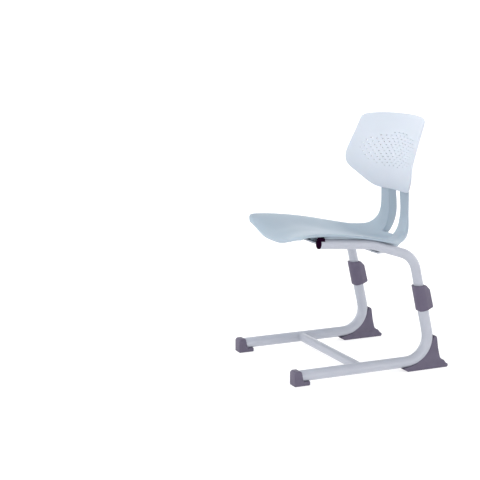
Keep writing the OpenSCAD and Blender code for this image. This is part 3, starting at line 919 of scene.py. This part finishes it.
@dataclass
class BackPanel:
    """The thin curved back with its field of vents. Lengths are in millimetres."""

    line: tuple[Point, ...] = (
        (180, 504), (174.5, 527), (172, 560), (175, 598), (186.5, 641), (198, 678), (208, 708),
        (215.5, 732),
    )
    foot: tuple[Point, ...] = (
        (0, 504), (50, 504), (76, 504.5), (98, 509), (120, 520), (148, 539), (173, 557),
    )
    head: tuple[Point, ...] = (
        (0, 732), (60, 731.5), (110, 730), (149, 726), (166, 722.5), (175.5, 716),
    )
    flank: tuple[Point, ...] = (
        (173, 557), (183, 567), (189.5, 580), (192.3, 598), (190.5, 620), (187, 641), (182, 671),
        (178.5, 699), (175.5, 716),
    )
    radius: float = 350.0
    thickness: float = 4.5
    columns: int = 32
    rows: int = 26
    vent_centre: float = 624.0
    vent_half: Point = (158.0, 52.0)
    vent_inset: float = 2.9
    vent_squash: float = 0.5
    vent_corner: float = 0.6
    vent_margin: float = 9.0
    rim_round: float = 1.6
    post_radius: float = 6.0
    post_height: float = 7.0
    post_root: float = 1.5

    def middle_y(self, z: float) -> float:
        """The front face's depth up the middle line.

        Args:
            z: The height.

        Returns:
            Its place along Y.
        """
        i = max([0] + [k for k in range(len(self.line) - 1) if self.line[k][1] <= z])
        t = max(0.0, z - self.line[i][1]) / (self.line[i + 1][1] - self.line[i][1])
        return along([p[0] for p in self.line], i + t)

    def front_y(self, x: float, z: float) -> float:
        """The front face's depth at any place."""
        return self.middle_y(z) - self.radius + math.sqrt(self.radius**2 - x * x)

    @staticmethod
    def height_on(points: Sequence[Point], x: float) -> float:
        """The height of an edge line at a distance from the middle.

        Args:
            points: The line's points, from the middle outwards.
            x: The distance from the middle.

        Returns:
            The line's height there.
        """
        fine = [rail(points, i / 12) for i in range(12 * (len(points) - 1) + 1)]
        for a, b in zip(fine, fine[1:]):
            if a.x <= x <= b.x + 1e-6 and b.x > a.x:
                return a.y + (b.y - a.y) * (x - a.x) / (b.x - a.x)
        return fine[-1].y

    def outline_point(self, u: float, v: float) -> Vector:
        """A place in the panel's outline, blended from its four sides.

        Args:
            u: Across, from -1 to 1.
            v: Up, from 0 to 1.

        Returns:
            The place as (across, up).
        """
        side, t = (1.0 if u >= 0 else -1.0), abs(u)
        low, high = Vector(self.foot[-1]), Vector(self.head[-1])
        foot = Vector((t * low.x, self.height_on(self.foot, t * low.x)))
        head = Vector((t * high.x, self.height_on(self.head, t * high.x)))
        middle = Vector((0.0, self.foot[0][1])).lerp(Vector((0.0, self.head[0][1])), v)
        flank = rail(self.flank, v * (len(self.flank) - 1))
        rows = foot.lerp(head, v)
        columns = middle.lerp(flank, t)
        corners = Vector(self.foot[0]).lerp(low, t).lerp(Vector(self.head[0]).lerp(high, t), v)
        p = rows + columns - corners
        return Vector((side * p.x, p.y))

    def place(self, co: Vector) -> Vector:
        """Where a corner of the flat grid goes on the panel's front face."""
        p = self.outline_point(2 * co.x, co.y + 0.5)
        return Vector((p.x, self.front_y(p.x, p.y), p.y)) * MM

    def in_vents(self, x: float, z: float, grow: float = 0.0) -> bool:
        """Whether a place is in the oval field of vents.

        Args:
            x: Its X in metres.
            z: Its height in metres.
            grow: How much larger the field is taken, in millimetres.

        Returns:
            Whether it is inside.
        """
        across = x / MM / (self.vent_half[0] + grow)
        up = (z / MM - self.vent_centre) / (self.vent_half[1] + grow)
        return across * across + up * up <= 1.0

    def open_vents(self, piece: bpy.types.Object) -> None:
        """Inset every second cell of the field, flatten it to a short slot, and open it.

        Args:
            piece: The panel while it is one skin.
        """
        edit(piece)

        def is_vent(face: bmesh.types.BMFace) -> bool:
            """Every second cell of the field, like a chessboard."""
            centre = face.calc_center_median()
            row, column = divmod(face.index, self.columns)
            return (row + column) % 2 == 0 and self.in_vents(centre.x, centre.z)

        LOG.info("vents: %d", pick(piece, Pick.FACES, is_vent))
        bpy.ops.mesh.inset(thickness=self.vent_inset * MM, use_individual=True)
        mesh = bmesh.from_edit_mesh(piece.data)
        for face in [face for face in mesh.faces if face.select]:
            middle_z = face.calc_center_median().z
            for vert in face.verts:
                vert.co.z = middle_z + (vert.co.z - middle_z) * self.vent_squash
        bmesh.update_edit_mesh(piece.data)
        bpy.ops.mesh.bevel(offset=self.vent_corner * MM, segments=2, affect="VERTICES")
        bpy.ops.mesh.delete(type="FACE")
        done(piece)

    def build(self) -> bpy.types.Object:
        """Model the panel from a flat grid.

        Returns:
            The back panel.
        """
        deselect_all()
        bpy.ops.mesh.primitive_grid_add(
            x_subdivisions=self.columns, y_subdivisions=self.rows, size=1.0
        )
        piece = named("back_panel")
        shape(piece, self.place)
        self.open_vents(piece)
        finish_modifier(
            piece, "SOLIDIFY", thickness=self.thickness * MM, offset=-1.0, use_even_offset=True
        )
        edit(piece, Pick.EDGES)

        def on_rim(edge: bmesh.types.BMEdge) -> bool:
            """Whether an edge is one of the two that run round the outline."""
            middle = (edge.verts[0].co + edge.verts[1].co) / 2
            return is_sharp(edge) and not self.in_vents(middle.x, middle.z, self.vent_margin)

        LOG.info("panel rim edges: %d", pick(piece, Pick.EDGES, on_rim))
        bpy.ops.mesh.bevel(offset=self.rim_round * MM, segments=3, affect="EDGES")
        done(piece)
        self.add_posts(piece)
        smooth(piece, 35.0)
        return piece

    def add_posts(self, piece: bpy.types.Object) -> None:
        """Stand the four screw posts on the panel's back.

        Args:
            piece: The panel.
        """
        posts = []
        for z in BACK_FIXING.z:
            for x in (-BACK_FIXING.x, BACK_FIXING.x):
                y = self.front_y(x, z) + self.thickness - self.post_root
                place = towards(Vector((x, y, z)) * MM, BACKWARD)
                post = cylinder("post", self.post_radius, self.post_height, place, 32)
                round_edges(post, 0.4, 2, 50)
                posts.append(post)
        join(piece, posts)

    def dress(self, shop: PaintShop) -> None:
        """Build the panel and hand it over."""
        shop.hand_over(self.build(), PANEL_PLASTIC, Body.SEAT, ["backrest_panel"])


# ---------------------------------------------------------------- clamp sleeves and screws


@dataclass
class ClampSleeve:
    """The cover over a leg's clamp: round in front, with a flat-backed wedge behind."""

    radius: float = 20.5
    low: float = 156.5
    wedge_back: float = 29.0
    wedge_half: float = 12.0
    shoulder: Point = (19.9, 8.0)
    spare: float = 1.0
    stock_spare: float = 4.0
    stock_length: float = 90.0
    outline: tuple[Point, ...] = (
        (-21.5, 163.5), (-16, 156.5), (26.5, 156.5), (29, 159.5), (27.4, 211.5), (25, 215.5),
        (15.5, 229.3), (-21.5, 236),
    )
    socket_stop: float = 0.3
    socket_depth: float = 70.0
    throat_fit: float = 0.4
    throat_from: float = 5.0
    throat_depth: float = 40.0
    recess_from: float = 18.4
    recess_radius: float = 8.2
    recess_depth: float = 20.0

    def section(self, co: Vector) -> Vector:
        """Draw the rear of a round bar out to the wedge, with room to trim its back.

        Args:
            co: A corner of the round bar.

        Returns:
            Where it goes.
        """
        flat = Vector((co.x, co.y))
        direction = flat.normalized()
        if direction.y <= 0:
            return co
        back = self.wedge_back + self.spare
        shoulder = Vector(self.shoulder)
        slope = Vector((self.wedge_half, back)) - shoulder
        normal = Vector((slope.y, -slope.x)).normalized()
        facing = Vector((abs(direction.x), direction.y))
        reach = back / direction.y
        side = normal.dot(shoulder) / max(TINY, normal.dot(facing))
        widest = self.radius / max(TINY, abs(direction.x))
        out = max(self.radius, min(reach, side, widest))
        return Vector((direction.x * out * MM, direction.y * out * MM, co.z))

    def build(self) -> bpy.types.Object:
        """Model the left sleeve: draw out the wedge, trim it on its slopes, then bore it.

        Returns:
            The left sleeve.
        """
        piece = cylinder("left_sleeve_cover", self.radius, self.stock_length, Matrix.Identity(4), 96)
        shape(piece, self.section)
        settle(piece, LEG.place(self.low - self.stock_spare))
        for (d0, t0), (d1, t1) in zip(self.outline, self.outline[1:] + self.outline[:1]):
            a, b = LEG.point(t0, d0), LEG.point(t1, d1)
            away = (b - a).cross(ACROSS).normalized()
            edit(piece)
            bpy.ops.mesh.select_all(action="SELECT")
            bpy.ops.mesh.bisect(plane_co=a, plane_no=away, use_fill=True, clear_outer=True)
            done(piece)
        round_edges(piece, 1.3, 3, 24.0)
        socket = towards(LEG.point(LEG.top + self.socket_stop - self.socket_depth), LEG.upward)
        carve(piece, cylinder("socket", LEG.lower_r + LEG.fit, self.socket_depth, socket, 64))
        throat = towards(LEG.point(LEG.top - self.throat_from), LEG.upward)
        carve(piece, cylinder("throat", LEG.upper_r + self.throat_fit, self.throat_depth, throat, 64))
        for up in LEG.screw_up:
            recess = towards(LEG.point(up, self.recess_from), LEG.rearward)
            carve(piece, cylinder("recess", self.recess_radius, self.recess_depth, recess, 48))
        smooth(piece, 30.0)
        return piece

    def dress(self, shop: PaintShop) -> None:
        """Build both sleeves and hand them over."""
        shop.hand_over_pair(self.build(), SLEEVE_PLASTIC, "sleeve")


@dataclass
class SocketScrews:
    """The four clamp screws: a socket head with a hexagon in it, and a plain shank."""

    head_radius: float = 6.5
    head_height: float = 8.0
    seat: float = 20.0
    shank_radius: float = 3.95
    shank_end: float = 3.0
    hexagon_radius: float = 3.5
    hexagon_depth: float = 4.0

    def build_one(self, up: float, side: Side) -> bpy.types.Object:
        """Model one screw at its place.

        Args:
            up: How far up the leg it is.
            side: The leg's side.

        Returns:
            The screw.
        """
        length = self.seat - self.shank_end
        screw = cylinder("screw", self.shank_radius, length, Matrix.Identity(4), 32)
        neck = Matrix.Translation((0, 0, length * MM))
        head = cylinder("head", self.head_radius, self.head_height, neck, 48)
        round_edges(head, 0.7, 2, 50)
        floor = Matrix.Translation((0, 0, (length + self.head_height - self.hexagon_depth) * MM))
        carve(head, cylinder("hexagon", self.hexagon_radius, self.hexagon_depth + 2, floor, 6))
        join(screw, [head])
        settle(screw, towards(LEG.point(up, self.shank_end), LEG.rearward))
        if side is Side.RIGHT:
            mirror(screw)
        return screw

    def dress(self, shop: PaintShop) -> None:
        """Build the four screws as one group and hand it over.

        Args:
            shop: The paint shop.
        """
        group, *others = [self.build_one(up, side) for side in Side for up in LEG.screw_up]
        join(group, others)
        group.name = group.data.name = "clamp_socket_screws"
        smooth(group, 35.0)
        shop.hand_over(group, ZINC, Body.FLOOR, ["clamp_screws"])


# ---------------------------------------------------------------- feet and caps


@dataclass
class FrontFoot:
    """The L-shaped foot on the front end of a floor tube. Lengths are in millimetres."""

    toe: float = -252.0
    top: float = 42.5
    toe_round: float = 9.0
    lip_y: float = -230.0
    step_y: float = -223.0
    heel_y: float = -203.0
    sole: float = 13.0
    half: float = 17.5
    tube_from: float = -232.0
    tube_depth: float = 60.0

    def build(self) -> bpy.types.Object:
        """Model the left front foot.

        Returns:
            The left front foot.
        """
        corner = (self.toe + self.toe_round, self.top - self.toe_round)
        outline = [
            (self.toe, 0), (self.heel_y, 0), (self.heel_y, self.sole), (self.step_y, self.sole),
            (self.lip_y, self.top), *arc(corner, self.toe_round, 90, 180, 6),
        ]
        piece = slab("left_front_foot_boot", outline, LEG.side_x - self.half, LEG.side_x + self.half)
        round_edges(piece, 3.2, 4, 30.0)
        place = towards(Vector((LEG.side_x, self.tube_from, LEG.corner_z)) * MM, BACKWARD)
        carve(piece, cylinder("bore", LEG.lower_r + LEG.fit, self.tube_depth, place, 64))
        smooth(piece, 30.0)
        return piece

    def dress(self, shop: PaintShop) -> None:
        """Build both front feet and hand them over."""
        shop.hand_over_pair(self.build(), FOOT_PLASTIC, "front_foot")


@dataclass
class HeelFoot:
    """The fin behind a leg's lower bend, standing on a long sole. Lengths are in millimetres."""

    tail: float = 252.0
    tail_round: float = 6.0
    sole: float = 10.0
    bend_radius: float = 70.0
    bore_from: float = 60.0
    bore_up: float = 60.0
    widths: tuple[Point, ...] = ((0, 16.5), (3, 17.3), (10, 17.5), (30, 14), (97.5, 9.5))

    def half_width(self, z: float) -> float:
        """Half the foot's width at a height.

        Args:
            z: The height.

        Returns:
            The distance from the foot's middle to its side.
        """
        for (z0, w0), (z1, w1) in zip(self.widths, self.widths[1:]):
            if z <= z1:
                return w0 + (w1 - w0) * (z - z0) / (z1 - z0)
        return self.widths[-1][1]

    def tube_cutter(self) -> bpy.types.Object:
        """The floor tube's outside, swept by extrude and spin, to cut the foot with.

        Returns:
            The cutter.
        """
        swept = math.radians(90) - LEG.lean
        trim = self.bend_radius * math.tan(swept / 2)
        start = Vector((LEG.side_x, self.bore_from, LEG.corner_z)) * MM
        bend_start = Vector((LEG.side_x, LEG.corner_y - trim, LEG.corner_z)) * MM
        deselect_all()
        bpy.ops.mesh.primitive_circle_add(
            vertices=64, radius=(LEG.lower_r + LEG.fit) * MM, fill_type="NGON"
        )
        piece = named("tube")
        settle(piece, towards(start, BACKWARD))
        edit(piece)
        bpy.ops.mesh.select_all(action="SELECT")
        extrude(bend_start - start)
        centre = bend_start + Vector((0, 0, self.bend_radius * MM))
        bpy.ops.mesh.spin(steps=28, angle=swept, center=centre, axis=ACROSS)
        extrude(LEG.upward * self.bore_up * MM)
        done(piece)
        outward(piece)
        return piece

    def build(self) -> bpy.types.Object:
        """Model the left heel foot.

        Returns:
            The left heel foot.
        """
        lobe = (self.tail - self.tail_round, self.tail_round)
        outline = [
            (100, self.sole), (116, 0), (self.tail - 3, 0), *arc(lobe, self.tail_round, -30, 90, 5),
            (243, 16.5), (239, 22), (233, 25), (228.5, 28), (226, 32), (223.5, 42), (220, 60),
            (218.6, 74), (217, 89), (215, 94), (211.5, 97), (208, 97), (190, 60), (150, 22),
            (118, self.sole + 4),
        ]
        piece = slab("left_heel_foot_fin", outline, LEG.side_x - 1, LEG.side_x + 1)
        for z, _ in self.widths[1:-1]:
            edit(piece)
            bpy.ops.mesh.select_all(action="SELECT")
            bpy.ops.mesh.bisect(plane_co=(0, 0, z * MM), plane_no=(0, 0, 1))
            done(piece)

        def widen(co: Vector) -> Vector:
            """Give each corner the foot's width at its height."""
            out = math.copysign(self.half_width(co.z / MM), co.x / MM - LEG.side_x)
            return Vector(((LEG.side_x + out) * MM, co.y, co.z))

        shape(piece, widen)
        carve(piece, self.tube_cutter())
        round_edges(piece, 1.2, 3, 34.0)
        smooth(piece, 30.0)
        return piece

    def dress(self, shop: PaintShop) -> None:
        """Build both heel feet and hand them over."""
        shop.hand_over_pair(self.build(), FOOT_PLASTIC, "heel_foot")


# ---------------------------------------------------------------- welds


@dataclass
class WeldBeads:
    """The beads where the crossbar meets the floor tubes. Lengths are in millimetres."""

    bead: float = 1.7
    ring_radius: float = 13.8
    bar_y: float = -33.0
    sunk: float = 0.4
    ripple: float = 0.25
    ripples: int = 22

    def bar_bead(self, side: Side) -> bpy.types.Object:
        """A ring round the bar, pressed to the side of a floor tube.

        Args:
            side: The floor tube's side.

        Returns:
            The bead.
        """
        deselect_all()
        bpy.ops.mesh.primitive_torus_add(
            major_radius=self.ring_radius * MM, minor_radius=self.bead * MM,
            major_segments=72, minor_segments=10,
        )
        piece = named(f"{side.word}_bar_weld")
        centre = Vector((0, self.bar_y, LEG.corner_z)) * MM
        settle(piece, towards(centre, ACROSS))

        def press(co: Vector) -> Vector:
            """Move a corner along the bar to the tube, with the ripple of a hand weld."""
            rise = (co.z - centre.z) / MM
            angle = math.atan2(co.z - centre.z, co.y - centre.y)
            depth = math.sqrt(max(0.0, LEG.lower_r**2 - rise * rise))
            ripple = self.ripple * math.sin(self.ripples * angle)
            x = (LEG.side_x - depth - self.sunk) * MM + co.x * (1 + ripple)
            return Vector((side.value * x, co.y, co.z))

        shape(piece, press)
        outward(piece)
        smooth(piece, 60.0)
        return piece

    def dress(self, shop: PaintShop) -> None:
        """Build the beads and hand them over."""
        for side in Side:
            shop.hand_over(self.bar_bead(side), FRAME_PAINT, Body.FLOOR)


# ---------------------------------------------------------------- bought and plain parts


@dataclass
class PlainParts:
    """The tubes, small hardware and caps, whose own shapes are kept."""

    painted: tuple[str, ...] = (
        "left_upper_tube", "right_upper_tube", "left_lower_tube", "right_lower_tube",
        "floor_crossbar", "front_seat_cradle", "rear_seat_cradle",
    )
    plated: tuple[str, ...] = (
        "left_nut_plate", "right_nut_plate", "clamp_washers", "seat_washers", "seat_screws",
        "foot_screws", "backrest_screws",
    )

    def dress(self, shop: PaintShop) -> None:
        """Give each its finish.

        Args:
            shop: The paint shop.
        """
        shop.repaint(self.painted, FRAME_PAINT)
        shop.repaint(self.plated, ZINC)
        shop.repaint(["left_tube_cap", "right_tube_cap"], CAP_PLASTIC)
        shop.repaint(["seat_inserts"], BRASS)


# ---------------------------------------------------------------- studio


@dataclass
class Studio:
    """A pale floor, a pale wall all round, soft light and the camera. Lengths are in metres."""

    lens: float = 89.07
    sensor: float = 36.0
    farthest: float = 200.0
    eye: tuple[float, float, float] = (3.0475, -1.6798, 1.0066)
    tilt: float = 79.5
    heading: float = 66.066
    sky: float = 0.7
    sun: float = 1.5
    sun_spread: float = 60.0
    sun_from: tuple[float, float, float] = (-0.15, -0.3, 1.0)
    sun_height: float = 4.0
    sky_colour: Colour = (0.97, 0.985, 1.0)
    floor_size: float = 60.0
    floor_drop: float = 0.0004
    floor_tone: float = 0.4
    floor_glow: float = 0.75
    wall_radius: float = 26.0
    wall_height: float = 9.0
    wall_sunk: float = 0.1

    @staticmethod
    def paper(name: str, tone: float, glow: float, roughness: float, shine: float) -> bpy.types.Material:
        """A plain white or grey material that glows a little by itself.

        Args:
            name: The material's name.
            tone: How light it is.
            glow: How strongly it glows.
            roughness: How rough it is.
            shine: How strongly it reflects.

        Returns:
            The material.
        """
        made = bpy.data.materials.new(name)
        made.use_nodes = True
        shader = made.node_tree.nodes["Principled BSDF"]
        shader.inputs["Base Color"].default_value = (tone, tone, tone, 1.0)
        shader.inputs["Roughness"].default_value = roughness
        shader.inputs["Specular IOR Level"].default_value = shine
        shader.inputs["Emission Color"].default_value = (1.0, 1.0, 1.0, 1.0)
        shader.inputs["Emission Strength"].default_value = glow
        return made

    def build_floor(self) -> None:
        """Lay the floor and stand the wall."""
        deselect_all()
        bpy.ops.mesh.primitive_plane_add(size=self.floor_size, location=(0, 0, -self.floor_drop))
        floor = named("studio_floor")
        paper = self.paper("studio_paper", self.floor_tone, self.floor_glow, 0.9, 0.1)
        floor.data.materials.append(paper)
        deselect_all()
        bpy.ops.mesh.primitive_cylinder_add(
            vertices=64, radius=self.wall_radius, depth=self.wall_height,
            location=(0, 0, self.wall_height / 2 - self.wall_sunk), end_fill_type="NOTHING",
        )
        wall = named("studio_wall")
        wall.data.materials.append(self.paper("studio_wall", 1.0, 1.0, 0.5, 0.5))

    def build_light(self) -> None:
        """Set the sky and hang one wide, soft sun."""
        world = bpy.data.worlds.new("studio_sky")
        bpy.context.scene.world = world
        world.use_nodes = True
        sky = world.node_tree.nodes["Background"]
        sky.inputs["Color"].default_value = (*self.sky_colour, 1.0)
        sky.inputs["Strength"].default_value = self.sky
        lamp = bpy.data.lights.new("overhead_light", "SUN")
        lamp.energy = self.sun
        lamp.angle = math.radians(self.sun_spread)
        holder = bpy.data.objects.new("overhead_light", lamp)
        bpy.context.scene.collection.objects.link(holder)
        holder.matrix_world = towards(Vector((0, 0, self.sun_height)), Vector(self.sun_from))

    def build_camera(self) -> None:
        """Set the camera and how its tones are shown."""
        data = bpy.data.cameras.new("camera")
        data.lens = self.lens
        data.sensor_width = self.sensor
        data.clip_end = self.farthest
        camera = bpy.data.objects.new("camera", data)
        camera.location = self.eye
        camera.rotation_euler = (math.radians(self.tilt), 0, math.radians(self.heading))
        bpy.context.scene.collection.objects.link(camera)
        bpy.context.scene.camera = camera
        bpy.context.scene.view_settings.view_transform = "Standard"

    def dress(self) -> None:
        """Set the whole studio up."""
        self.build_floor()
        self.build_light()
        self.build_camera()


# ---------------------------------------------------------------- assembly


def main() -> None:
    """Build the studio and the chair, and log the face count of each new piece."""
    logging.basicConfig(level=logging.INFO, format="%(message)s")
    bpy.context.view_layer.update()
    Studio().dress()
    shop = PaintShop({})
    PlainParts().dress(shop)
    SeatMoulding().dress(shop)
    BackPanel().dress(shop)
    ClampSleeve().dress(shop)
    SocketScrews().dress(shop)
    FrontFoot().dress(shop)
    HeelFoot().dress(shop)
    WeldBeads().dress(shop)
    deselect_all()


if __name__ == "__main__":
    main()
